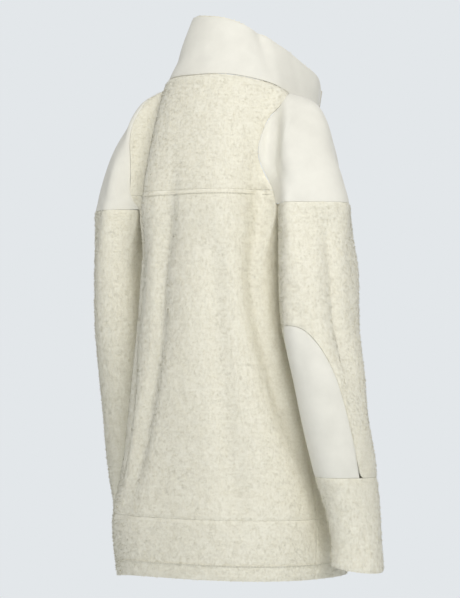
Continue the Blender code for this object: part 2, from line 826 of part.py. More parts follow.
def make_slider_and_pull():
    """The slider's plate with two lugs and a pin, and the pull whose eye turns on the pin."""
    chest = body(180, SLIDER_Z + SLIDER_PLATE[2] / 2)
    plate_depth = SLIDER_PLATE[1]
    plate_y = chest[1] - (TEETH_PROUD - TAPE_DEPTH) - CLEARANCE * 2 - plate_depth / 2
    pin = (0.0, plate_y - plate_depth / 2 - PIN_OUT, SLIDER_Z + PIN_UP)

    slider = box("zip_slider", SLIDER_PLATE, (0, plate_y, SLIDER_Z), jacket)
    softened(slider, 0.0006)
    lug_y = pin[1] + LUG[1] / 2 - PIN_RADIUS * 2
    for end in (-1, 1):
        lug = box(f"lug_{end}", LUG, (end * LUG_APART / 2, lug_y, pin[2]), helpers)
        softened(lug, 0.0004)
        joined(slider, lug)
    joined(slider, rod("pin", PIN_RADIUS, LUG_APART, pin, helpers))
    slider.data.materials.append(looks["metal"])

    pull = rod("zip_pull", EYE_RADIUS, EYE_WIDTH, pin, jacket)
    neck_z = pin[2] - PULL_NECK[2] / 2 - EYE_RADIUS / 2
    joined(pull, box("pull_neck", PULL_NECK, (0, pin[1], neck_z), helpers))
    tab_z = neck_z - PULL_NECK[2] / 2 - PULL_TAB[2] / 2 + CLEARANCE
    tab = box("pull_tab", PULL_TAB, (0, pin[1], tab_z), helpers)
    softened(tab, 0.0007)
    joined(pull, tab)
    hole = rod("eye_hole", PIN_RADIUS + CLEARANCE, EYE_WIDTH * 2, pin, helpers)
    joined(pull, hole, "DIFFERENCE")
    pull.data.materials.append(looks["metal"])


# ---------------------------------------------------------------- looks
def look(name, colour, roughness, metallic=0.0):
    material = bpy.data.materials.new(name)
    material.use_nodes = True
    shader = material.node_tree.nodes["Principled BSDF"]
    shader.inputs["Base Color"].default_value = (*colour, 1)
    shader.inputs["Roughness"].default_value = roughness
    shader.inputs["Metallic"].default_value = metallic
    return material


for old in list(bpy.data.objects):
    bpy.data.objects.remove(old)
jacket = bpy.data.collections.new(NAME)
bpy.context.scene.collection.children.link(jacket)
helpers = bpy.data.collections.new("helpers")
bpy.context.scene.collection.children.link(helpers)
looks = {
    "fleece": look("sherpa fleece", (0.78, 0.74, 0.62), 0.95),
    "woven": look("smooth woven shell", (0.82, 0.80, 0.74), 0.75),
    "tape": look("zip tape", (0.74, 0.72, 0.64), 0.8),
    "metal": look("zip metal", (0.55, 0.54, 0.50), 0.35, 1.0),
}

make_back_and_fronts()
for each_side in SIDES:
    make_cap(each_side)
    make_sleeve(each_side)
    make_tape(each_side)
make_collar()
make_slider_and_pull()
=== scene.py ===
"""Sherpa zip jacket, worn open at the neck: its look, on the solid model's own surfaces.

Metres, +Z up, front to -Y. Every cut piece is a thin shell worked out from the same sizes as its
solid: the yoke, the body, the sleeves and the collar. The fleece then gets its pile, the woven
pieces their weave, and the zip its teeth.
"""

import math

import bmesh
import bpy
import numpy as np
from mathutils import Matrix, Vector
from mathutils.kdtree import KDTree


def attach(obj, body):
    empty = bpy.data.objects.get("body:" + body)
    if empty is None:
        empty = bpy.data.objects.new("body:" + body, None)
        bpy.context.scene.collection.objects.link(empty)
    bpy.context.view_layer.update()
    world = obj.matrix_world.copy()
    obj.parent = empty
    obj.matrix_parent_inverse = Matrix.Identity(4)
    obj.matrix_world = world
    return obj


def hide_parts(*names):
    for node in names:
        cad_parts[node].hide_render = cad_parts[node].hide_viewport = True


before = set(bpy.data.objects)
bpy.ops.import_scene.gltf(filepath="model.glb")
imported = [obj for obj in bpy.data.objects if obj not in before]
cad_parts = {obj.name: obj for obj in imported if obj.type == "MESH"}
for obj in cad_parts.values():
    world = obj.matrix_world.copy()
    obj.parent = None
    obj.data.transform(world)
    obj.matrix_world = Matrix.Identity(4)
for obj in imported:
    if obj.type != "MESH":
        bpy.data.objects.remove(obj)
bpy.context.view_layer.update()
jacket_body = "jacket"

# ---- cloth ----
FLEECE = 0.004
WOVEN = 0.002
SEAM_GAP = 0.00034
CAP_GAP = SEAM_GAP * 3  # round the caps, whose seams curve most
PATCH_GAP = SEAM_GAP * 2

# ---- heights, down from the neck seam at the back ----
ARMPIT_Z = -0.206
BAND_SEAM_Z = -0.695
HEM_Z = -0.789
ELBOW_SEAM_Z = -0.627
YOKE_SEAM = 0.885  # where the cross seam lies between the neck seam (0) and the armpits (1)

# ---- places round the body, in degrees of turn from the middle of the back ----
RAGLAN_BACK = 65
RAGLAN_FRONT = 115  # on the yoke
ARM_FRONT = 103  # the same corner, on the body below
SIDE_SEAM = 84
# The back raglan seams: the left one runs nearly straight, and the right one curves in towards the
# back and then out to the armpit.
RAGLAN_SEAM = {
    # drop, turn
    "left": ((0.0, 80), (0.1, 76), (0.3, 75), (0.5, 73), (0.7, 71), (0.9, 69), (1.0, RAGLAN_BACK)),
    "right": (
        (0.0, 80),
        (0.1, 74),
        (0.28, 60),
        (0.45, 54),
        (0.66, 53),
        (0.8, 61),
        (0.9, 65),
        (1.0, RAGLAN_BACK),
    ),
}
RAGLAN_NECK = 80
ARM_SIDE_DIP = 0.002
ARM_CLEAR = 0.0012  # from the body to the sleeve, in the middle of the armpit

# The yoke: the neck seam, and the outline at the armpits that it spreads out to.
YOKE = (
    # turn, neck_x, neck_y, neck_z, armpit_x, armpit_y
    (0, 0.000, 0.100, 0.000, 0.000, 0.147),
    (35, 0.066, 0.080, -0.003, 0.084, 0.134),
    (65, 0.108, 0.028, -0.020, 0.139, 0.072),
    (78, 0.112, 0.008, -0.030, 0.185, 0.103),
    (90, 0.113, -0.010, -0.038, 0.236, 0.035),
    (102, 0.112, -0.028, -0.047, 0.190, -0.043),
    (115, 0.111, -0.045, -0.056, 0.138, -0.025),
    (145, 0.104, -0.082, -0.070, 0.088, -0.103),
    (180, 0.078, -0.115, -0.085, 0.009, -0.124),
)
SPREAD_BACK = 0.80  # how early the yoke spreads on its way down: at the back
SPREAD_FRONT = 1.05  # and at the front
SHOULDER_WIDTH_DEG = 36
YOKE_MIDDLE = (0.0, 0.02)  # what its folds are pressed in towards
# The wearer's left shoulder is carried higher and further out than the right.
SHOULDERS = {
    "left": {"spread": 0.29, "raised": 0.019, "out": 0.016},
    "right": {"spread": 0.34, "raised": 0.003, "out": 0.007},
}
RAISED_WIDTH_DEG = 38
HEM_DROP = 0.008  # the hem hangs lower at the left side of the back
HEM_DROP_TURN = 62
HEM_DROP_WIDTH_DEG = 28

# The body: level sections, each a rounded box.
BODY = (
    # z, middle_x, middle_y, half_width, half_back, half_front, roundness
    (-0.20, 0.000, 0.008, 0.124, 0.139, 0.128, 2.9),
    (-0.28, 0.000, 0.008, 0.124, 0.140, 0.128, 2.9),
    (-0.36, 0.002, 0.008, 0.130, 0.140, 0.132, 2.8),
    (-0.44, 0.005, 0.006, 0.143, 0.140, 0.138, 2.7),
    (-0.52, 0.008, 0.002, 0.158, 0.142, 0.146, 2.6),
    (-0.60, 0.012, -0.004, 0.175, 0.145, 0.155, 2.5),
    (-0.66, 0.016, -0.007, 0.188, 0.147, 0.160, 2.4),
    (-0.70, 0.018, -0.008, 0.194, 0.148, 0.163, 2.4),
    (-0.80, 0.018, -0.010, 0.188, 0.143, 0.160, 2.4),
)
SETTLE = 0.11  # length below the armpits over which body and sleeves take their own sections
ZIP_HALF = 0.009  # from the middle of the front to each front's edge

# The sleeves: sections along each arm. x is out from the body's middle.
SLEEVE_RIGHT = (
    # z, x, y, half_across, half_deep
    (-0.20, 0.187, 0.031, 0.054, 0.077),
    (-0.26, 0.188, 0.032, 0.054, 0.078),
    (-0.34, 0.192, 0.034, 0.055, 0.078),
    (-0.40, 0.197, 0.036, 0.055, 0.076),
    (-0.47, 0.214, 0.036, 0.052, 0.068),
    (-0.52, 0.221, 0.034, 0.050, 0.063),
    (-0.58, 0.229, 0.028, 0.048, 0.057),
    (-0.63, 0.234, 0.020, 0.045, 0.052),
    (-0.67, 0.239, 0.012, 0.041, 0.046),
    (-0.72, 0.241, 0.004, 0.038, 0.041),
    (-0.79, 0.238, -0.004, 0.042, 0.043),
)
SLEEVE_LEFT = (
    # z, x, y, half_across, half_deep
    (-0.20, 0.194, 0.022, 0.054, 0.077),
    (-0.26, 0.195, 0.020, 0.054, 0.078),
    (-0.34, 0.196, 0.015, 0.054, 0.078),
    (-0.40, 0.203, 0.006, 0.055, 0.076),
    (-0.47, 0.214, -0.008, 0.052, 0.068),
    (-0.52, 0.224, -0.022, 0.050, 0.063),
    (-0.58, 0.238, -0.040, 0.048, 0.057),
    (-0.63, 0.249, -0.054, 0.045, 0.052),
    (-0.67, 0.256, -0.064, 0.041, 0.046),
    (-0.72, 0.263, -0.076, 0.038, 0.041),
    (-0.79, 0.265, -0.088, 0.042, 0.043),
)
# Angle round a sleeve: 0 is away from the body, 90 the back, 180 the body's side.
BACK_CORNER_DEG = 136
FRONT_CORNER_DEG = 232.5
CUFF = {"right": (-0.768, -0.0065), "left": (-0.772, -0.004)}  # height, and rise towards the body

PATCH = {"right": 98, "left": 204}  # where each sleeve's elbow patch is centred, in those degrees
PATCH_HALF_DEG = 75
PATCH_HEIGHT = 0.232
PATCH_ROUND = 3

# ---- folds ----
# On the body: a soft trough that runs down it, its place given in turn at the top, middle and foot.
BODY_FOLDS = (
    # top_z, foot_z, turn_top, turn_middle, turn_foot, half_width_deg, depth
    (-0.11, -0.74, 5, 11, 36, 7, 0.007),  # from the left shoulder blade to the left of the hem
    (-0.16, -0.70, 30, 32, 52, 15, 0.013),  # the flat drawn between that one and the left arm
    (-0.20, -0.76, -24, -29, -35, 9, 0.006),
    (-0.10, -0.66, -52, -60, -80, 8, 0.009),  # beside the right arm
    (-0.30, -0.78, 140, 138, 132, 9, 0.008),
    (-0.24, -0.74, -146, -136, -128, 10, 0.009),
    (-0.42, -0.78, 112, 108, 104, 9, 0.007),
    # the sharper creases and soft ridges in and between them
    (-0.12, -0.70, 42, 50, 40, 5, 0.004),
    (-0.11, -0.72, 8, 11, 27, 7, 0.008),
    (-0.18, -0.70, 26, 33, 36, 8, -0.006),
    (-0.20, -0.78, -27, -25, -36, 5, 0.002),
    (-0.10, -0.66, -53, -58, -84, 5, 0.004),
    (-0.26, -0.60, -8, -4, 2, 7, -0.002),
    (-0.45, -0.78, 8, 4, 10, 6, 0.002),
    (-0.30, -0.72, 160, 157, 150, 6, 0.003),
    (-0.36, -0.78, -162, -158, -150, 6, 0.003),
)
# On the sleeves.
SLEEVE_FOLDS = {
    "right": (
        # top_z, foot_z, angle_top, angle_middle, angle_foot, half_width_deg, depth
        (-0.20, -0.50, 34, 28, 14, 11, 0.006),
        (-0.22, -0.46, 112, 124, 132, 16, 0.006),
        (-0.30, -0.60, -62, -48, -40, 15, 0.007),
        (-0.20, -0.50, 28, 24, 11, 6, 0.005),
        (-0.34, -0.48, 70, 76, 88, 7, 0.003),
        (-0.42, -0.60, 150, 156, 160, 8, 0.003),
        (-0.64, -0.77, 40, 34, 30, 9, 0.002),
    ),
    "left": (
        (-0.21, -0.52, 20, 12, -8, 13, 0.006),
        (-0.24, -0.56, -66, -58, -40, 15, 0.007),
        (-0.26, -0.50, 150, 158, 170, 14, 0.005),
    ),
}
# On the caps: creases that fan out from the neck and fade below the armpits.
CAP_FOLDS = (
    # turn_top, turn_foot, half_width_deg, depth
    (64, 54, 3.2, 0.004),
    (90, 62, 3.4, 0.006),
    (84, 80, 3.4, 0.005),
    (80, 104, 4.4, 0.009),
    (97, 96, 3.6, 0.005),
    (104, 113, 3.4, 0.004),
)
CAP_FOLDS_WIDEN = 4  # how many times wider they are in degrees round a sleeve
CAP_FOLDS_FADE = 1.5  # how much further down than the sleeve's own section they reach

# ---- collar ----
COLLAR = (
    # turn, height, lean_in_deg
    (-180, 0.074, -8),
    (-115, 0.080, 6),
    (-65, 0.086, 19),
    (-35, 0.094, 21),
    (0, 0.100, 19),
    (35, 0.104, 20),
    (65, 0.106, 20),
    (115, 0.096, 6),
    (180, 0.082, -10),
)
COLLAR_CREASES = (
    # turn, half_width_deg, depth
    (-60, 8, 0.008),
    (50, 10, 0.005),
    (-61, 3, 0.004),
    (96, 6, 0.003),
)
# Soft folds that lie along the collar, between two turns.
COLLAR_ROLLS = (
    # share_of_height, half_width, turn_from, turn_to, depth
    (0.20, 0.09, -54, 18, 0.0035),
    (0.42, 0.08, -56, -4, 0.0025),
    (0.30, 0.10, 20, 70, 0.0030),
)
COLLAR_APART = 0.0014  # between its two layers
COLLAR_INNER = 0.0035
COLLAR_ROLL = 0.035  # how far the fleece stands above the woven outside, as a share of its height
COLLAR_SEAM = 0.008  # where the woven outside starts
COLLAR_FOOT = 0.04  # and where the fleece starts

# ---- zip ----
TAPE_DEPTH = 0.0014  # from the fronts' outside in to the tape's face
TAPE_WIDTH = 0.0086
TEETH_WIDTH = 0.0030
TEETH_PROUD = 0.0009

# ---- fineness ----
YOKE_ROWS = 11
BODY_ROWS = 30
BAND_ROWS = 6
BACK_COLUMNS = 32
ARM_COLUMNS = 6
FRONT_COLUMNS = 14
CAP_COLUMNS = 40
SLEEVE_ROWS = 26
FOREARM_ROWS = 9
PATCH_COLUMNS = 20
PATCH_ROWS = 12
PLAIN_COLUMNS = 18
COLLAR_ROWS = 7
CAP_TO_COLLAR = 2  # columns of a cap to each one of the collar over it
FINER = 2  # times each face is split in four

# How far to each side of a point a surface is felt for its way out.
TURN_STEP = 0.5
ANGLE_STEP = 0.7  # round a sleeve or the collar, in degrees
DROP_STEP = 0.01
LEVEL_STEP = 0.004
SHARE_STEP = 0.02
NEARLY = 1e-6

SIDES = {"left": 1.0, "right": -1.0}


# ---------------------------------------------------------------- surfaces
def track(table):
    """The columns of a table as one smooth function of its first column."""
    rows = np.array(table, float)
    keys = rows[:, 0]
    values = rows[:, 1:]
    slopes = np.gradient(values, keys, axis=0)

    def at(key):
        key = np.clip(key, keys[0], keys[-1])
        i = int(np.clip(np.searchsorted(keys, key, side="right") - 1, 0, len(keys) - 2))
        step = keys[i + 1] - keys[i]
        u = (key - keys[i]) / step
        start = (1 + 2 * u) * (1 - u) ** 2 * values[i] + u * (1 - u) ** 2 * step * slopes[i]
        end = u * u * (3 - 2 * u) * values[i + 1] + u * u * (u - 1) * step * slopes[i + 1]
        return start + end

    return at


def mirrored(table, flipped):
    """Rows given for one side, as rows right round: the turn and the columns named change sign."""
    sign = np.ones(len(table[0]))
    sign[[0, *flipped]] = -1
    other = [tuple(np.array(row) * sign) for row in reversed(table[1:])]
    return (*other, *table)


even_yoke = track(mirrored(YOKE, (1, 4)))
body_section = track([(-row[0], *row[1:]) for row in BODY])
sleeve_section = {
    "right": track([(-row[0], *row[1:]) for row in SLEEVE_RIGHT]),
    "left": track([(-row[0], *row[1:]) for row in SLEEVE_LEFT]),
}
collar_shape = track(COLLAR)
raglan_seam = {side: track(table) for side, table in RAGLAN_SEAM.items()}


def blend(a, b, amount):
    return a + (b - a) * amount


def soft_step(amount):
    amount = min(max(amount, 0.0), 1.0)
    return amount * amount * (3 - 2 * amount)


def bump(distance, half_width):
    """1 on a fold's line, falling softly to nothing."""
    return math.exp(-((distance / half_width) ** 2))


def turn_between(a, b):
    return (a - b + 180) % 360 - 180


def fold_depth(folds, z, turn):
    """How far the cloth is pressed in here by the folds of one table."""
    total = 0.0
    for top_z, foot_z, turn_top, turn_middle, turn_foot, half_width, depth in folds:
        along = (top_z - z) / (top_z - foot_z)
        if not 0 < along < 1:
            continue
        centre = blend(
            blend(turn_top, turn_middle, along * 2) if along < 0.5 else turn_middle,
            turn_foot,
            max(0.0, along * 2 - 1),
        )
        strength = soft_step(along * 4) * soft_step((1 - along) * 4)
        total += depth * strength * bump(turn_between(turn, centre), half_width)
    return total


def pressed_in(point, middle, depth):
    """A point moved level towards the middle of its section."""
    away = point[:2] - middle
    return np.array([*(point[:2] - away / np.linalg.norm(away) * depth), point[2]])


def side_of(turn):
    return "left" if turn >= 0 else "right"


def yoke_loops(turn):
    """The neck seam's point and the armpit outline's here, with each shoulder as it is carried."""
    neck_x, neck_y, neck_z, armpit_x, armpit_y = even_yoke(turn)
    carried = SHOULDERS[side_of(turn)]
    neck_z += carried["raised"] * bump(abs(turn) - 90, RAISED_WIDTH_DEG)
    reach = soft_step(1 - abs(abs(turn) - 90) / (RAGLAN_FRONT - 90))
    return neck_x, neck_y, neck_z, armpit_x + math.copysign(carried["out"], turn) * reach, armpit_y


def dome(turn, drop):
    """The yoke: drop is 0 at the neck seam and 1 at the armpits."""
    neck_x, neck_y, neck_z, armpit_x, armpit_y = yoke_loops(turn)
    drop = max(drop, 0.0)
    at_shoulder = bump(abs(turn) - 90, SHOULDER_WIDTH_DEG)
    middle = SPREAD_BACK if abs(turn) < 90 else SPREAD_FRONT
    spread = drop ** blend(middle, SHOULDERS[side_of(turn)]["spread"], at_shoulder)
    point = np.array(
        [
            blend(neck_x, armpit_x, spread),
            blend(neck_y, armpit_y, spread),
            blend(neck_z, ARMPIT_Z, drop),
        ]
    )
    depth = fold_depth(BODY_FOLDS, point[2], turn)
    for place_top, place_foot, half_width, most in CAP_FOLDS:
        place = blend(place_top, place_foot, drop)
        strength = soft_step(drop * 3) * most
        depth += strength * bump(abs(turn) - place, half_width)
    return pressed_in(point, np.array(YOKE_MIDDLE), depth)


def armpit_line(along):
    """The line under the arm, from the back corner (0) to the front one (1), for the left side."""
    back = even_yoke(RAGLAN_BACK)[3:5]
    front = even_yoke(RAGLAN_FRONT)[3:5]
    x, y = blend(back, front, along)
    return x - ARM_SIDE_DIP * math.sin(math.pi * along), y


def body_top(turn):
    """The body's outline at the armpits."""
    side = 1.0 if turn >= 0 else -1.0
    turn = abs(turn)
    if turn <= RAGLAN_BACK:
        x, y = even_yoke(turn)[3:5]
    elif turn < ARM_FRONT:
        x, y = armpit_line((turn - RAGLAN_BACK) / (ARM_FRONT - RAGLAN_BACK))
    else:
        x, y = even_yoke(yoke_turn(turn))[3:5]
    return side * x, y


def yoke_turn(turn):
    """The yoke's turn that meets the body's at the armpits, on the back or the front."""
    if abs(turn) <= RAGLAN_BACK:
        return turn
    share = (abs(turn) - ARM_FRONT) / (180 - ARM_FRONT)
    return math.copysign(blend(RAGLAN_FRONT, 180, share), turn)


def on_yoke(turn, drop):
    """The yoke's turn for a column of the body. The back's columns spread out to the raglan seam."""
    if abs(turn) > RAGLAN_BACK:
        return yoke_turn(turn)
    return turn * raglan_seam[side_of(turn)](drop)[0] / RAGLAN_BACK


def rounded_power(value, power):
    return math.copysign(abs(value) ** power, value)


def body(turn, z):
    """The body below the armpits."""
    middle_x, middle_y, half_width, half_back, half_front, roundness = body_section(-z)
    side = 1.0 if turn >= 0 else -1.0
    angle = math.radians(abs(turn))
    power = 2 / roundness
    across = rounded_power(math.sin(angle), power)
    along = rounded_power(math.cos(angle), power)
    edge = ZIP_HALF if abs(turn) > 90 else 0.0
    half_deep = half_back if along > 0 else half_front
    own = np.array(
        [
            middle_x + side * (edge + (half_width - edge) * across),
            middle_y + half_deep * along,
        ]
    )
    settled = soft_step((ARMPIT_Z - z) / SETTLE)
    point = np.array([*blend(np.array(body_top(turn)), own, settled), z])
    return pressed_in(point, np.array([middle_x, 0.0]), fold_depth(BODY_FOLDS, z, turn))


def sleeve(side, angle, z):
    """A sleeve below the armpit."""
    x, y, half_across, half_deep = sleeve_section[side](-z)
    sign = SIDES[side]
    angle = (angle + 180) % 360 - 180
    turned = math.radians(angle)
    own = np.array([x + half_across * math.cos(turned), y + half_deep * math.sin(turned)])
    round_back = angle % 360
    if BACK_CORNER_DEG < round_back < FRONT_CORNER_DEG:
        along = (round_back - BACK_CORNER_DEG) / (FRONT_CORNER_DEG - BACK_CORNER_DEG)
        top = np.array(armpit_line(along)) + [ARM_CLEAR * math.sin(math.pi * along), 0]
    else:
        span = BACK_CORNER_DEG - (FRONT_CORNER_DEG - 360)
        along = (BACK_CORNER_DEG - angle) / span
        armpit_x, armpit_y = yoke_loops(sign * blend(RAGLAN_BACK, RAGLAN_FRONT, along))[3:5]
        top = np.array([sign * armpit_x, armpit_y])
    settled = soft_step((ARMPIT_Z - z) / SETTLE)
    point = np.array([*blend(top, own, settled), z])
    middle = np.array([x, y])
    depth = fold_depth(SLEEVE_FOLDS[side], z, angle)
    for _, place, half_width, most in CAP_FOLDS:
        share = (place - RAGLAN_BACK) / (RAGLAN_FRONT - RAGLAN_BACK)
        centre = BACK_CORNER_DEG - share * (360 - FRONT_CORNER_DEG + BACK_CORNER_DEG)
        fade = 1 - soft_step((ARMPIT_Z - z) / (SETTLE * CAP_FOLDS_FADE))
        depth += most * fade * bump(turn_between(angle, centre), half_width * CAP_FOLDS_WIDEN)
    point = pressed_in(point, middle, depth)
    return point * np.array([sign, 1, 1])


def collar(turn, share):
    """The collar's outside: share is 0 at the neck seam and 1 at its top edge."""
    neck_x, neck_y, neck_z = yoke_loops(turn)[:3]
    height, lean = collar_shape(turn)
    base = np.array([neck_x, neck_y])
    inward = -base / np.linalg.norm(base)
    lean = math.radians(lean)
    level = base + inward * height * share * math.sin(lean)
    point = np.array([*level, neck_z + height * share * math.cos(lean)])
    depth = 0.0
    for place, half_width, most in COLLAR_CREASES:
        depth += most * bump(turn - place, half_width) * share
    for centre, half_width, turn_from, turn_to, most in COLLAR_ROLLS:
        along = (turn - turn_from) / (turn_to - turn_from)
        ends = soft_step(along * 4) * soft_step((1 - along) * 4)
        depth += most * bump(share - centre, half_width) * ends
    return pressed_in(point, np.zeros(2), depth)


# ---------------------------------------------------------------- panels
class Patch:
    """A cut piece as a sheet of four-sided faces: its outer points, and the way out at each."""

    def __init__(self):
        self.points = []
        self.normals = []
        self.faces = []
        self.index = {}

    def point(self, key, position, normal):
        if key not in self.index:
            self.index[key] = len(self.points)
            self.points.append(position)
            self.normals.append(normal / np.linalg.norm(normal))
        return self.index[key]


def facing(surface, u, v, step_u, step_down):
    """The way out of a surface at a point, from its neighbours to each side."""
    across = surface(u + step_u, v) - surface(u - step_u, v)
    down = surface(u, v + step_down) - surface(u, v - step_down)
    return np.cross(across, down)


def sheet(rows):
    """A patch from rows of (key, position, normal); neighbouring rows share their columns' keys."""
    patch = Patch()
    for upper, lower in zip(rows, rows[1:]):
        below = {entry[0][1]: entry for entry in lower}
        for left, right in zip(upper, upper[1:]):
            corners = (left, below.get(left[0][1]), below.get(right[0][1]), right)
            if None in corners:
                continue
            patch.faces.append([patch.point(*corner) for corner in corners])
    return patch


def edge_loops(faces):
    """Each edge that only one face has, as (from, to) in that face's order."""
    once = {}
    for face in faces:
        for a, b in zip(face, face[1:] + face[:1]):
            if (b, a) in once:
                del once[b, a]
            else:
                once[a, b] = face
    return once


def drawn_in(patch, gap):
    """Moves the patch's edges in by half a seam gap, so that its neighbours are a gap away."""
    points = np.array(patch.points)
    pulls = {}
    for (a, b), face in edge_loops(patch.faces).items():
        along = points[b] - points[a]
        along = along / np.linalg.norm(along)
        inward = points[face].mean(axis=0) - points[a]
        inward = inward - along * inward.dot(along)
        for corner in (a, b):
            pulls.setdefault(corner, []).append(inward / np.linalg.norm(inward))
    moved = points.copy()
    for corner, ways in pulls.items():
        way = np.sum(ways, axis=0)
        share = 1.0 if len(ways) == 1 else 1 + ways[0].dot(ways[1])
        moved[corner] += way / max(share, 0.4) * gap / 2
    return moved


# ---------------------------------------------------------------- materials
CURL_MM = 3.4  # across one curl of the pile, whose light and shade are painted into the colour
BRUSHED_SHEEN_MM = 42  # across the patches where the pile lies one way, painted lighter and darker as sheen
KNIT_ROW_MM = 7.0  # the knit's rows, drawn coarser than the real 3 mm so that they show, as bump and as painted shade
THREAD_MM = 1.1  # the weave, drawn coarser than the real 0.4 mm so that it shows
PADDING_SHADE_MM = 30  # across the soft lumps of the padding under the weave, painted into the colour as shade and light
RUB_MM = 1.5  # across one rub mark on the metal
TWIST_MM = 0.5  # along a sewing thread, for each turn of its twist
# The fleece's colour, from a painted shade to a painted light
FLEECE_SHADE = "#EAE5D2"
FLEECE_LIGHT = "#F4F0DF"
FLEECE_TIP = "#F7F3E3"
# The woven cloth's colour, from a painted shade to a painted light
WOVEN_SHADE = "#E9E6DA"
WOVEN_LIGHT = "#F0EDE1"


def hex_linear(code):
    """An sRGB hex colour as the linear colour that a shader takes."""
    channels = [int(code[i : i + 2], 16) / 255 for i in (1, 3, 5)]
    linear = [c / 12.92 if c <= 0.04045 else ((c + 0.055) / 1.055) ** 2.4 for c in channels]
    return (*linear, 1.0)


def node(owner, kind, settings=None, links=None):
    """Adds one node with its settings, and links into its sockets. A ramp's stops are (place, hex)."""
    made = owner.node_tree.nodes.new(kind)
    for key, value in (settings or {}).items():
        if key == "stops":
            for element, (place, code) in zip(made.color_ramp.elements, value):
                element.position = place
                element.color = hex_linear(code)
        elif isinstance(key, int) or key in made.inputs:
            made.inputs[key].default_value = value
        else:
            setattr(made, key, value)
    for key, source in (links or {}).items():
        owner.node_tree.links.new(source, made.inputs[key])
    return made


def started(name):
    """A new material, and the link that places a texture by the object's own coordinates."""
    material = bpy.data.materials.new(name)
    material.use_nodes = True
    material.node_tree.nodes.clear()
    place = node(material, "ShaderNodeTexCoord").outputs["Object"]
    return material, {"Vector": place}


def finished(material, tone, stops, height, relief, settings):
    """Ends a material: its tone through a colour ramp, its height as bump, one Principled shader."""
    strength, distance = relief
    colour = node(material, "ShaderNodeValToRGB", {"stops": stops}, {"Fac": tone})
    bump = node(
        material, "ShaderNodeBump", {"Strength": strength, "Distance": distance}, {"Height": height}
    )
    links = {"Base Color": colour.outputs["Color"], "Normal": bump.outputs["Normal"]}
    shader = node(material, "ShaderNodeBsdfPrincipled", settings, links)
    node(material, "ShaderNodeOutputMaterial", {}, {"Surface": shader.outputs["BSDF"]})
    return material


def bands_per(millimetres):
    """The scale at which a Wave texture has one band to this many millimetres."""
    return 2 * math.pi / 20 / (millimetres / 1000)


def sherpa_fleece():
    """Polyester sherpa, knitted and brushed into curls: matt, with a soft light edge to each curl. The
    curls, the knit's rows and the brushed patches are painted into its colour as shade and light.
    """
    material, placed = started("sherpa_fleece")
    curled = {"Scale": 1000 / CURL_MM, "Detail": 3.0, "Roughness": 0.62}
    curls = node(material, "ShaderNodeTexNoise", curled, placed)
    knitted = {
        "bands_direction": "Z",
        "Scale": bands_per(KNIT_ROW_MM),
        "Distortion": 2.5,
        "Detail": 2.0,
        "Detail Scale": 2.0,
    }
    rows = node(material, "ShaderNodeTexWave", knitted, placed)
    brushed = node(material, "ShaderNodeTexNoise", {"Scale": 1000 / BRUSHED_SHEEN_MM, "Detail": 2.0}, placed)
    pile = node(
        material,
        "ShaderNodeMath",
        {"operation": "MULTIPLY_ADD", 1: 0.12},
        {0: rows.outputs["Fac"], 2: curls.outputs["Fac"]},
    ).outputs[0]
    tone = node(
        material,
        "ShaderNodeMath",
        {"operation": "MULTIPLY_ADD", 1: 0.35},
        {0: brushed.outputs["Fac"], 2: pile},
    ).outputs[0]
    # painted shade and light: the colour darker and lighter over the curls, rows and brushed patches
    stops = ((0.42, FLEECE_SHADE), (0.95, FLEECE_LIGHT))
    matt = {"Roughness": 0.95, "Sheen Weight": 0.25, "Sheen Roughness": 0.6, "Specular IOR Level": 0.15}
    return finished(material, tone, stops, pile, (0.3, 0.0012), matt)


def sherpa_pile():
    """The loose curls that stand off the same fleece: lighter at their tips' colour, here and there."""
    material, placed = started("sherpa_pile")
    curls = node(material, "ShaderNodeTexNoise", {"Scale": 1000 / CURL_MM, "Detail": 2.0}, placed)
    curl = curls.outputs["Fac"]
    # the darker end is the fleece's painted shade
    stops = ((0.35, FLEECE_SHADE), (0.65, FLEECE_TIP))
    matt = {"Roughness": 0.95, "Sheen Weight": 0.2, "Specular IOR Level": 0.1}
    return finished(material, curl, stops, curl, (0.1, 0.0005), matt)


def woven_shell():
    """Close polyester plain weave over a light padding: smooth and matt, whiter than the fleece. The
    padding's lumps are painted into its colour as shade and light.
    """
    material, placed = started("woven_shell")
    threads = []
    for direction in ("Z", "DIAGONAL"):
        woven = {
            "bands_direction": direction,
            "Scale": bands_per(THREAD_MM),
            "Distortion": 1.2,
            "Detail": 1.0,
        }
        threads.append(node(material, "ShaderNodeTexWave", woven, placed).outputs["Fac"])
    crossed = node(
        material, "ShaderNodeMath", {"operation": "MULTIPLY"}, {0: threads[0], 1: threads[1]}
    ).outputs[0]
    padding_shade = node(material, "ShaderNodeTexNoise", {"Scale": 1000 / PADDING_SHADE_MM, "Detail": 4.0}, placed)
    # painted shade and light: the colour darker and lighter over the padding's lumps
    stops = ((0.3, WOVEN_SHADE), (0.7, WOVEN_LIGHT))
    matt = {"Roughness": 0.72, "Sheen Weight": 0.12, "Sheen Roughness": 0.4, "Specular IOR Level": 0.3}
    return finished(material, padding_shade.outputs["Fac"], stops, crossed, (0.35, 0.0004), matt)


def zip_tape_cloth():
    """Woven polyester zip tape: a fine rib along its length."""
    material, placed = started("zip_tape_cloth")
    ribbed = {"bands_direction": "X", "Scale": bands_per(THREAD_MM), "Distortion": 0.6}
    rib = node(material, "ShaderNodeTexWave", ribbed, placed).outputs["Fac"]
    stops = ((0.1, "#CFCABB"), (0.9, "#E2DED0"))
    return finished(material, rib, stops, rib, (0.4, 0.0004), {"Roughness": 0.8})


def zinc_alloy():
    """Die-cast zinc alloy, plated and tumbled: grey, softly shining, with fine rub marks."""
    material, placed = started("zinc_alloy")
    rubbed = node(material, "ShaderNodeTexNoise", {"Scale": 1000 / RUB_MM, "Detail": 5.0}, placed)
    rub = rubbed.outputs["Fac"]
    stops = ((0.3, "#B4B2AC"), (0.7, "#C9C7C1"))
    plated = {"Roughness": 0.34, "Metallic": 1.0}
    return finished(material, rub, stops, rub, (0.15, 0.0002), plated)


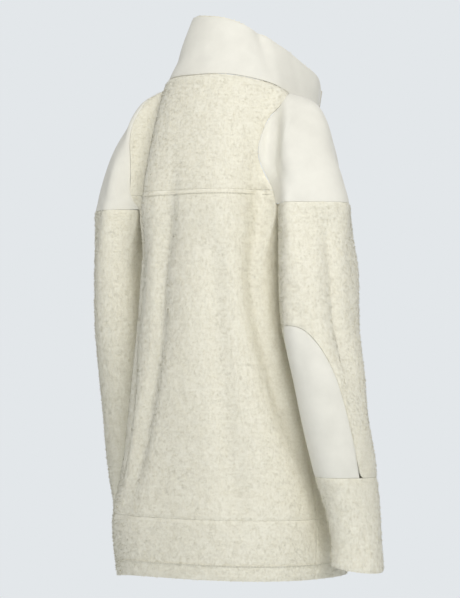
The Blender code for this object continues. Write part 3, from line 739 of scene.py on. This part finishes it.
def sewing_thread():
    """Twisted polyester thread: round, a little shiny, in the colour of the cloth."""
    material, placed = started("sewing_thread")
    twisted = {"bands_direction": "DIAGONAL", "Scale": bands_per(TWIST_MM)}
    twist = node(material, "ShaderNodeTexWave", twisted, placed).outputs["Fac"]
    stops = ((0.1, "#CDC8B6"), (0.9, "#E4E0D0"))
    return finished(material, twist, stops, twist, (0.3, 0.0002), {"Roughness": 0.6})


def painted_floor():
    """Studio floor paint: pale and matt, faintly uneven from the roller."""
    material, placed = started("painted_floor")
    rolled = node(material, "ShaderNodeTexNoise", {"Scale": 2.0, "Detail": 2.0}, placed)
    uneven = rolled.outputs["Fac"]
    stops = ((0.3, "#E0E4E7"), (0.7, "#E6EAED"))
    return finished(material, uneven, stops, uneven, (0.02, 0.001), {"Roughness": 0.9})


looks = {
    "fleece": sherpa_fleece(),
    "pile": sherpa_pile(),
    "woven": woven_shell(),
    "tape": zip_tape_cloth(),
    "metal": zinc_alloy(),
    "thread": sewing_thread(),
}


# ---------------------------------------------------------------- cloth
SEAM_ROLL = {"fleece": (0.0012, 0.0070), "woven": (0.0008, 0.0040)}  # depth, width
CURL_LUMPS = ((0.0090, 0.0005), (0.0045, 0.0004))  # size, height
WOVEN_LUMPS = ((0.0300, 0.0005),)
PILE_LENGTH = 0.0032
PILE_WIDTH = 0.0011
PILE_EACH = 5.4e-6  # square metres of cloth to each loose curl
# From the least to the most of a curl, drawn at random.
PILE_STEEP = (0.2, 1.1)  # how steeply it stands
PILE_LONG = (0.6, 1.4)  # times its length
PILE_BROAD = (0.7, 1.3)  # times its width


def unit(ways):
    """The same ways, each one metre long."""
    return ways / np.linalg.norm(ways, axis=1)[:, None]


def square_to(ways, along):
    """The ways turned square to other ways."""
    return unit(ways - along * np.sum(ways * along, axis=1)[:, None])


def lattice(cells, seed):
    """A value from 0 to 1 for each corner of a lattice, the same each run."""
    mixed = cells[:, 0] * 73856093 ^ cells[:, 1] * 19349663 ^ cells[:, 2] * 83492791 ^ seed * 2654435761
    mixed = (mixed ^ (mixed >> 13)) * 1274126177 & 0x7FFFFFFF
    return (mixed & 0xFFFF) / 65535.0


def lumps(points, size, seed):
    """Soft noise from -1 to 1, with lumps of this size."""
    scaled = points / size
    cells = np.floor(scaled).astype(np.int64)
    part = scaled - cells
    part = part * part * (3 - 2 * part)
    total = np.zeros(len(points))
    for corner in range(8):
        step = np.array([corner & 1, corner >> 1 & 1, corner >> 2 & 1])
        weight = np.prod(np.where(step, part, 1 - part), axis=1)
        total += weight * lattice(cells + step, seed)
    return total * 2 - 1


def smoothed(patch, levels):
    """The patch's sheet, split finer and smooth: points and four-sided faces."""
    mesh = bpy.data.meshes.new("sheet")
    mesh.from_pydata([tuple(p) for p in patch.points], [], patch.faces)
    obj = bpy.data.objects.new("sheet", mesh)
    bpy.context.scene.collection.objects.link(obj)
    finer = obj.modifiers.new("finer", "SUBSURF")
    finer.levels = finer.render_levels = levels
    finer.boundary_smooth = "PRESERVE_CORNERS"
    made = obj.evaluated_get(bpy.context.evaluated_depsgraph_get()).to_mesh()
    points = np.empty(len(made.vertices) * 3)
    made.vertices.foreach_get("co", points)
    loops = np.empty(len(made.loops), np.int64)
    made.loops.foreach_get("vertex_index", loops)
    bpy.data.objects.remove(obj)
    bpy.data.meshes.remove(mesh)
    return points.reshape(-1, 3), loops.reshape(-1, 4)


def ways_out(points, faces):
    """The smooth normal at each point."""
    across = points[faces[:, 2]] - points[faces[:, 0]]
    along = points[faces[:, 3]] - points[faces[:, 1]]
    flat = np.cross(across, along)
    normals = np.zeros_like(points)
    for corner in range(4):
        np.add.at(normals, faces[:, corner], flat)
    return normals / np.maximum(np.linalg.norm(normals, axis=1), 1e-12)[:, None]


def rim_of(faces):
    """The edges that only one face has, in that face's order."""
    starts = faces.ravel()
    ends = np.roll(faces, -1, axis=1).ravel()
    keys = starts * 10_000_000 + ends
    back = ends * 10_000_000 + starts
    alone = ~np.isin(keys, back)
    return starts[alone], ends[alone]


def from_rim(points, rim):
    """How far each point is from the nearest of the rim's points."""
    tree = KDTree(len(rim))
    for i, index in enumerate(rim):
        tree.insert(points[index], i)
    tree.balance()
    return np.array([tree.find(point)[2] for point in points])


def linked(obj, look, slot):
    bpy.context.scene.collection.objects.link(obj)
    obj.data.materials.append(looks[look])
    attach(obj, jacket_body)
    return obj


def mesh_of(name, points, faces, smooth=True):
    """A mesh object from arrays: faces all have the same number of corners."""
    mesh = bpy.data.meshes.new(name)
    corners = faces.shape[1]
    mesh.vertices.add(len(points))
    mesh.vertices.foreach_set("co", points.astype(np.float32).ravel())
    mesh.loops.add(faces.size)
    mesh.loops.foreach_set("vertex_index", faces.astype(np.int32).ravel())
    mesh.polygons.add(len(faces))
    mesh.polygons.foreach_set("loop_start", np.arange(0, faces.size, corners, dtype=np.int32))
    mesh.polygons.foreach_set("use_smooth", np.full(len(faces), smooth))
    mesh.update(calc_edges=True)
    return bpy.data.objects.new(name, mesh)


def add_pile(name, points, faces, normals):
    """Loose curls: small pointed flecks that stand off the fleece, leaning at random."""
    chance = np.random.default_rng(len(points))
    sides = points[faces[:, 2]] - points[faces[:, 0]], points[faces[:, 3]] - points[faces[:, 1]]
    areas = np.linalg.norm(np.cross(*sides), axis=1) / 2
    count = int(areas.sum() / PILE_EACH)
    chosen = chance.choice(len(faces), count, p=areas / areas.sum())
    share = chance.random((count, 2, 1))
    corners = points[faces[chosen]]
    upper = corners[:, 0] * (1 - share[:, 0]) + corners[:, 1] * share[:, 0]
    lower = corners[:, 3] * (1 - share[:, 0]) + corners[:, 2] * share[:, 0]
    roots = upper * (1 - share[:, 1]) + lower * share[:, 1]
    out = normals[faces[chosen, 0]]
    lean = square_to(chance.normal(size=(count, 3)), out)
    way = unit(lean + out * blend(*PILE_STEEP, chance.random((count, 1))))
    broad = unit(np.cross(out, way))
    length = PILE_LENGTH * blend(*PILE_LONG, chance.random((count, 1)))
    aside = broad * PILE_WIDTH * blend(*PILE_BROAD, chance.random((count, 1))) / 2
    flecks = np.stack([roots - aside, roots + way * length, roots + aside], axis=1)
    obj = mesh_of(name, flecks.reshape(-1, 3), np.arange(count * 3).reshape(-1, 3))
    obj.data.normals_split_custom_set_from_vertices(np.repeat(out, 3, axis=0))
    return linked(obj, "pile", "fleece")


def cloth(name, patch, wall, look, gap=SEAM_GAP, lift=0.0):
    """A cut piece as a closed thin shell, with the pile's lumps, its seams rolled in, and its pile."""
    patch.points = list(drawn_in(patch, gap) + np.array(patch.normals) * lift)
    points, faces = smoothed(patch, FINER)
    normals = ways_out(points, faces)
    meant = np.array(patch.normals)
    if np.sum(normals[: len(meant)] * meant) < 0:
        faces = faces[:, ::-1]
        normals = -normals
    starts, ends = rim_of(faces)
    depth, width = SEAM_ROLL[look]
    near = np.clip(from_rim(points, np.unique(starts)) / width, 0, 1)
    raised = -depth * (1 - near) ** 2
    for order, (size, height) in enumerate(CURL_LUMPS if look == "fleece" else WOVEN_LUMPS):
        raised += height * near * lumps(points, size, order + 3)
    outer = points + normals * raised[:, None]
    inner = points - normals * wall
    count = len(points)
    sides = np.stack([ends, starts, starts + count, ends + count], axis=1)
    shell = np.vstack([faces, faces[:, ::-1] + count, sides])
    piece = linked(mesh_of(f"cloth_{name}", np.vstack([outer, inner]), shell), look, look)
    piece.data.set_sharp_from_angle(angle=math.radians(60))
    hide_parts(name)
    extra = [add_pile(f"pile_{name}", outer, faces, normals)] if look == "fleece" else []


def steps(start, end, count):
    return [blend(start, end, i / count) for i in range(count + 1)]


# ---------------------------------------------------------------- pieces
def level(normal):
    """A way out with no rise, for edges that meet at one height."""
    return np.array([normal[0], normal[1], 0.0])


def dome_entry(turn, body_turn, drop):
    normal = facing(dome, turn, drop, TURN_STEP, DROP_STEP)
    if drop == 0:
        normal[2] = max(normal[2], 0.0)
    return ((("dome", round(drop, 5)), round(body_turn, 4)), dome(turn, drop), normal)


def body_entry(turn, z):
    """A point of the body. On the armpits' level, the corners face out between back and side."""
    normal = facing(body, turn, z, TURN_STEP, -LEVEL_STEP)
    if z >= ARMPIT_Z - NEARLY:
        tangent = body(turn + TURN_STEP, z) - body(turn - TURN_STEP, z)
        normal = level(np.cross(tangent, [0, 0, -1.0]))
        if abs(turn) <= RAGLAN_BACK - 1 or abs(turn) > ARM_FRONT + 1:
            normal = facing(dome, yoke_turn(turn), 1.0, TURN_STEP, DROP_STEP)
        elif abs(abs(turn) - RAGLAN_BACK) < 1:
            normal = np.array([math.copysign(0.6, turn), 0.8, 0.0])
        elif abs(abs(turn) - ARM_FRONT) < 1:
            normal = np.array([math.copysign(0.6, turn), -0.8, 0.0])
    return ((("body", round(z, 5)), round(turn, 4)), body(turn, z), normal)


def hanging(turn, z):
    """A level of the body, with the hem's drop let into the band."""
    share = max(0.0, (BAND_SEAM_Z - z) / (BAND_SEAM_Z - HEM_Z))
    return z - HEM_DROP * share * bump(turn - HEM_DROP_TURN, HEM_DROP_WIDTH_DEG)


def rows_of(drops, levels, turns, yoke_turns):
    """Rows of a body panel: its part on the yoke, then its part below."""
    rows = []
    for drop in drops:
        rows.append([dome_entry(on_yoke(turn, drop), turn, drop) for turn in yoke_turns])
    for z in levels:
        rows.append([body_entry(turn, hanging(turn, z)) for turn in turns])
    return rows


def keyed(rows):
    """Entries with keys (row, column), so that rows of different lengths share columns."""
    return [
        [((i, column), position, normal) for ((_, column), position, normal) in row]
        for i, row in enumerate(rows)
    ]


def yoke_drops():
    """The yoke's rows, closer together near the neck seam, down to the cross seam."""
    return [YOKE_SEAM * s * s for s in steps(0, 1, YOKE_ROWS)]


def make_back_and_fronts():
    back_turns = steps(-RAGLAN_BACK, RAGLAN_BACK, BACK_COLUMNS)
    arm_turns = steps(RAGLAN_BACK, SIDE_SEAM, ARM_COLUMNS)[1:]
    wide_turns = [-t for t in reversed(arm_turns)] + back_turns + arm_turns
    rows = rows_of(yoke_drops(), [], [], back_turns)
    cloth("back_yoke", sheet(keyed(rows)), FLEECE, "fleece")
    low = steps(ARMPIT_Z, BAND_SEAM_Z, BODY_ROWS)
    band = steps(BAND_SEAM_Z, HEM_Z, BAND_ROWS)
    rows = rows_of([YOKE_SEAM], low, wide_turns, back_turns)
    cloth("back", sheet(keyed(rows)), FLEECE, "fleece")
    rows = rows_of([], band, wide_turns, [])
    cloth("hem_band_back", sheet(keyed(rows)), FLEECE, "fleece")

    for side, sign in SIDES.items():
        chest = [sign * t for t in steps(ARM_FRONT, 180, FRONT_COLUMNS)]
        wide = [sign * t for t in steps(SIDE_SEAM, ARM_FRONT, ARM_COLUMNS)[:-1]] + chest
        if side == "right":
            chest.reverse()
            wide.reverse()
        rows = rows_of(yoke_drops(), low, wide, chest)
        cloth(f"front_{side}", sheet(keyed(rows)), FLEECE, "fleece")
        rows = rows_of([], band, wide, [])
        cloth(f"hem_band_{side}", sheet(keyed(rows)), FLEECE, "fleece")


def make_cap(side):
    """The shoulder cap: from the neck seam between the raglan seams down to the sleeve."""
    rows = []
    for drop in [*yoke_drops(), 1.0]:
        row = []
        seam = raglan_seam[side](drop)[0]
        for column, turn in enumerate(steps(seam, RAGLAN_FRONT, CAP_COLUMNS)):
            turn *= SIDES[side]
            normal = facing(dome, turn, drop, TURN_STEP, DROP_STEP)
            if drop == 1:
                normal = level(normal)
            row.append(((0, column), dome(turn, drop), normal))
        rows.append(row if side == "left" else row[::-1])
    cloth(f"shoulder_cap_{side}", sheet(keyed(rows)), WOVEN, "woven", gap=CAP_GAP)


def patch_arch(offset):
    """Height of the elbow patch's arch, this many degrees from its middle."""
    return ELBOW_SEAM_Z + PATCH_HEIGHT * (1 - abs(offset / PATCH_HALF_DEG) ** PATCH_ROUND) ** 0.5


def make_sleeve(side):
    centre = PATCH[side]
    offsets = [
        PATCH_HALF_DEG * math.sin(math.radians(a)) for a in steps(-90, 90, PATCH_COLUMNS)
    ]
    inside = [centre + offset for offset in offsets]
    plain = steps(centre + PATCH_HALF_DEG, centre + 360 - PATCH_HALF_DEG, PLAIN_COLUMNS)[1:-1]
    angles = inside + plain
    arch = [patch_arch(offset) for offset in offsets] + [ELBOW_SEAM_Z] * len(plain)
    arch[0] = arch[len(inside) - 1] = ELBOW_SEAM_Z
    order = range(len(angles))

    def surface(angle, z):
        return sleeve(side, angle, z)

    def entry(row, column, z):
        angle = angles[column]
        normal = facing(surface, angle, z, ANGLE_STEP, -LEVEL_STEP) * -SIDES[side]
        if z >= ARMPIT_Z - NEARLY:
            tangent = surface(angle + ANGLE_STEP, z) - surface(angle - ANGLE_STEP, z)
            normal = level(np.cross([0, 0, 1.0], tangent)) * -SIDES[side]
        return ((row, column), surface(angle, z), normal)

    def ring_of(rows):
        """Closes each row into a ring."""
        patch = Patch()
        for upper, lower in zip(rows, rows[1:]):
            count = len(upper)
            for i in range(count):
                j = (i + 1) % count
                face = [upper[i], lower[i], lower[j], upper[j]]
                if side == "left":
                    face.reverse()
                patch.faces.append([patch.point(*corner) for corner in face])
        return patch

    upper = [
        [entry(i, c, blend(ARMPIT_Z, arch[c], s)) for c in order]
        for i, s in enumerate(steps(0, 1, SLEEVE_ROWS))
    ]
    cloth(f"sleeve_upper_{side}", ring_of(upper), FLEECE, "fleece")

    cuff_z, rise = CUFF[side]
    lower = []
    for i, s in enumerate(steps(0, 1, FOREARM_ROWS)):
        row = []
        for c in order:
            foot = cuff_z + rise * math.cos(math.radians(angles[c]))
            row.append(entry(i, c, blend(ELBOW_SEAM_Z, foot, s)))
        lower.append(row)
    cloth(f"sleeve_lower_{side}", ring_of(lower), FLEECE, "fleece")

    rows = []
    for i, s in enumerate(steps(0, 1, PATCH_ROWS)):
        row = [entry(i, c, blend(arch[c], ELBOW_SEAM_Z, s)) for c in range(1, len(inside) - 1)]
        rows.append(row if side == "right" else row[::-1])
    cloth(f"elbow_patch_{side}", sheet(rows), WOVEN, "woven", gap=PATCH_GAP)


def make_collar():
    half = steps(0, RAGLAN_NECK, BACK_COLUMNS // 2)
    half += steps(RAGLAN_NECK, RAGLAN_FRONT, CAP_COLUMNS // CAP_TO_COLLAR)[1:]
    half += [yoke_turn(turn) for turn in steps(ARM_FRONT, 180, FRONT_COLUMNS)][1:]
    turns = [-turn for turn in reversed(half[1:])] + half
    shares = steps(COLLAR_SEAM, 1, COLLAR_ROWS)
    inner_shares = [COLLAR_FOOT, *shares[1:], 1 + COLLAR_ROLL]
    for name, wall, look, lift, levels in (
        ("collar_outer", WOVEN, "woven", 0.0, shares),
        ("collar_inner", COLLAR_INNER, "fleece", -WOVEN - COLLAR_APART, inner_shares),
    ):
        rows = []
        for i, share in enumerate(reversed(levels)):
            row = []
            for turn in turns:
                normal = facing(collar, turn, share, ANGLE_STEP, -SHARE_STEP)
                row.append(((i, turn), collar(turn, share), normal))
            rows.append(row)
        cloth(name, sheet(rows), wall, look, lift=lift)


def front_edge(side):
    """The front's edge from the hem to the collar's top: its points, and the ways past it and out."""
    turn = SIDES[side] * 180
    inside = SIDES[side] * 178
    path = [
        (body, z)
        for z in steps(HEM_Z, BAND_SEAM_Z, BAND_ROWS)[:-1] + steps(BAND_SEAM_Z, ARMPIT_Z, BODY_ROWS)
    ]
    path += [(dome, drop) for drop in reversed(yoke_drops())]
    path += [(collar, share) for share in steps(COLLAR_SEAM, 1, COLLAR_ROWS)[1:]]
    points = np.array([surface(turn, at) for surface, at in path])
    along = unit(np.gradient(points, axis=0))
    past = points - np.array([surface(inside, at) for surface, at in path])
    closed = [i for i, (surface, _) in enumerate(path) if surface is body]
    past[closed] = [-SIDES[side], 0, 0]
    past = square_to(past, along)
    return points, past, np.cross(along, past) * SIDES[side]


# ---------------------------------------------------------------- sewing and zip
STITCH = 0.0034
STITCH_GAP = 0.0012
STITCH_RISE = 0.0012  # from the cloth to the middle of the thread
THREAD_RADIUS = 0.00045
YOKE_STITCH = 0.035  # below the yoke's seam, as a share of the drop to the armpits
HEM_STITCH = 0.024  # above the hem
TOOTH = (TEETH_WIDTH, 0.0010, 0.0012)  # across, out, along
TOOTH_PITCH = 0.0024
# A bar's eight corners, as (across, out, along), and its six sides.
CORNERS = np.array(
    [(-1, -1, -1), (1, -1, -1), (1, 1, -1), (-1, 1, -1), (-1, -1, 1), (1, -1, 1), (1, 1, 1), (-1, 1, 1)]
)
BLOCK = np.array(
    [(0, 3, 2, 1), (4, 5, 6, 7), (0, 1, 5, 4), (1, 2, 6, 5), (2, 3, 7, 6), (3, 0, 4, 7)]
)


def bars(name, centres, along, out, size, look, slot):
    """Many small six-sided bars as one piece: size is (across, out, along)."""
    ways = np.stack([np.cross(out, along), out, along])
    points = [centres + np.tensordot(corner * size / 2, ways, axes=1) for corner in CORNERS]
    points = np.stack(points, axis=1).reshape(-1, 3)
    faces = (BLOCK[None] + np.arange(len(centres))[:, None, None] * len(CORNERS)).reshape(-1, 4)
    linked(mesh_of(name, points, faces, smooth=False), look, slot)


def spaced(path, outs, pitch):
    """Points at an even pitch along a path, with the way along it and the way out at each."""
    travelled = np.concatenate([[0], np.cumsum(np.linalg.norm(np.diff(path, axis=0), axis=1))])
    places = np.arange(pitch / 2, travelled[-1], pitch)

    def read(values, at):
        return np.stack([np.interp(at, travelled, values[:, k]) for k in range(3)], axis=1)

    along = unit(read(path, places + pitch / 2) - read(path, places - pitch / 2))
    return read(path, places), along, square_to(read(outs, places), along)


def add_stitches(name, surface, step_down, places):
    """A row of stitches on a surface, through these (turn, height) places."""
    path = np.array([surface(u, v) for u, v in places])
    outs = np.array([facing(surface, u, v, TURN_STEP, step_down) for u, v in places])
    centres, along, out = spaced(path, outs, STITCH + STITCH_GAP)
    size = (THREAD_RADIUS * 2, THREAD_RADIUS * 2, STITCH)
    bars(name, centres + out * STITCH_RISE, along, out, size, "thread", "fleece")


def sew():
    """Rows of stitching that show: under the yoke seam, and above the hem."""
    turns = np.linspace(-RAGLAN_BACK + 1, RAGLAN_BACK - 1, 90)
    under_seam = [(t, YOKE_SEAM + YOKE_STITCH) for t in turns]
    add_stitches("stitches_yoke", dome, DROP_STEP, under_seam)
    above_hem = [(t, hanging(t, HEM_Z + HEM_STITCH)) for t in np.linspace(-179, 179, 320)]
    add_stitches("stitches_hem", body, -LEVEL_STEP, above_hem)


def add_teeth(side):
    """The zip's teeth along one tape's edge."""
    points, past, out = front_edge(side)
    path = points + past * (TAPE_WIDTH - TEETH_WIDTH / 2) + out * (TEETH_PROUD - TAPE_DEPTH)
    bars(f"teeth_{side}", *spaced(path, out, TOOTH_PITCH), TOOTH, "metal", "metal")


def dress_hard_pieces():
    """The zip's solids are seen as they are, in their own materials."""
    for name, look in (
        ("zip_tape_left", "tape"),
        ("zip_tape_right", "tape"),
        ("zip_slider", "metal"),
        ("zip_pull", "metal"),
    ):
        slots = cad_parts[name].data.materials
        slots.clear()
        slots.append(looks[look])


make_back_and_fronts()
for each_side in SIDES:
    make_cap(each_side)
    make_sleeve(each_side)
    add_teeth(each_side)
make_collar()
sew()
dress_hard_pieces()

# ---------------------------------------------------------------- stage, light and camera
VIEW_DEG = 38  # the camera stands behind, this far round to the wearer's right
CAMERA_FAR = 4.0
CAMERA_Z = -0.432
CAMERA_SHIFT = -0.0064
FOCAL_MM = 195.65
PICTURE_WIDTH = 460
LENS_UP = 51  # pixels that the lens is shifted up
FLOOR_Z = -1.30
FLOOR_RADIUS = 2.6
BACKDROP = "#E3E7EA"
AMBIENT = "#F2F4F6"
AMBIENT_STRENGTH = 0.5
MIDDLE = Vector((0, 0, -0.4))  # what the lights point at
LIGHTS = (
    # name, away, across, up, size, watts
    ("key", 2.7, 0.5, 1.7, 1.3, 50),
    ("fill", 2.2, -2.3, 0.5, 2.0, 9),
    ("front", -2.6, 0.6, 1.4, 2.2, 26),
)

scene = bpy.context.scene
scene.view_settings.view_transform = "Standard"

away = Vector((-math.sin(math.radians(VIEW_DEG)), math.cos(math.radians(VIEW_DEG)), 0))
across = Vector((-math.cos(math.radians(VIEW_DEG)), -math.sin(math.radians(VIEW_DEG)), 0))


def aimed(obj, place, target):
    obj.location = place
    obj.rotation_euler = (target - place).to_track_quat("-Z", "Y").to_euler()
    scene.collection.objects.link(obj)
    return obj


def make_camera():
    lens = bpy.data.cameras.new("camera")
    lens.lens = FOCAL_MM
    lens.sensor_width = 36
    lens.sensor_fit = "HORIZONTAL"
    lens.shift_y = LENS_UP / PICTURE_WIDTH
    lens.clip_end = 50
    place = away * CAMERA_FAR + across * CAMERA_SHIFT + Vector((0, 0, CAMERA_Z))
    scene.camera = aimed(bpy.data.objects.new("camera", lens), place, place - away)


def make_lights():
    for name, back, aside, up, size, watts in LIGHTS:
        light = bpy.data.lights.new(name, "AREA")
        light.shape = "DISK"
        light.size = size
        light.energy = watts
        place = MIDDLE + away * back + across * aside + Vector((0, 0, up))
        aimed(bpy.data.objects.new(name, light), place, MIDDLE)


def make_stage():
    floor = bpy.data.meshes.new("floor")
    shape = bmesh.new()
    bmesh.ops.create_circle(shape, cap_ends=True, segments=96, radius=FLOOR_RADIUS)
    shape.to_mesh(floor)
    shape.free()
    floor.materials.append(painted_floor())
    obj = bpy.data.objects.new("floor", floor)
    obj.location.z = FLOOR_Z
    scene.collection.objects.link(obj)


def make_world():
    """A pale backdrop all round, which lights the jacket less than it shows."""
    world = bpy.data.worlds.new("studio")
    scene.world = world
    world.use_nodes = True
    world.node_tree.nodes.clear()
    seen = node(world, "ShaderNodeBackground", {"Color": hex_linear(BACKDROP)})
    lighting = {"Color": hex_linear(AMBIENT), "Strength": AMBIENT_STRENGTH}
    lit = node(world, "ShaderNodeBackground", lighting)
    path = node(world, "ShaderNodeLightPath")
    either = {
        "Fac": path.outputs["Is Camera Ray"],
        1: lit.outputs["Background"],
        2: seen.outputs["Background"],
    }
    mix = node(world, "ShaderNodeMixShader", {}, either)
    node(world, "ShaderNodeOutputWorld", {}, {"Surface": mix.outputs["Shader"]})


make_world()
make_stage()
make_camera()
make_lights()
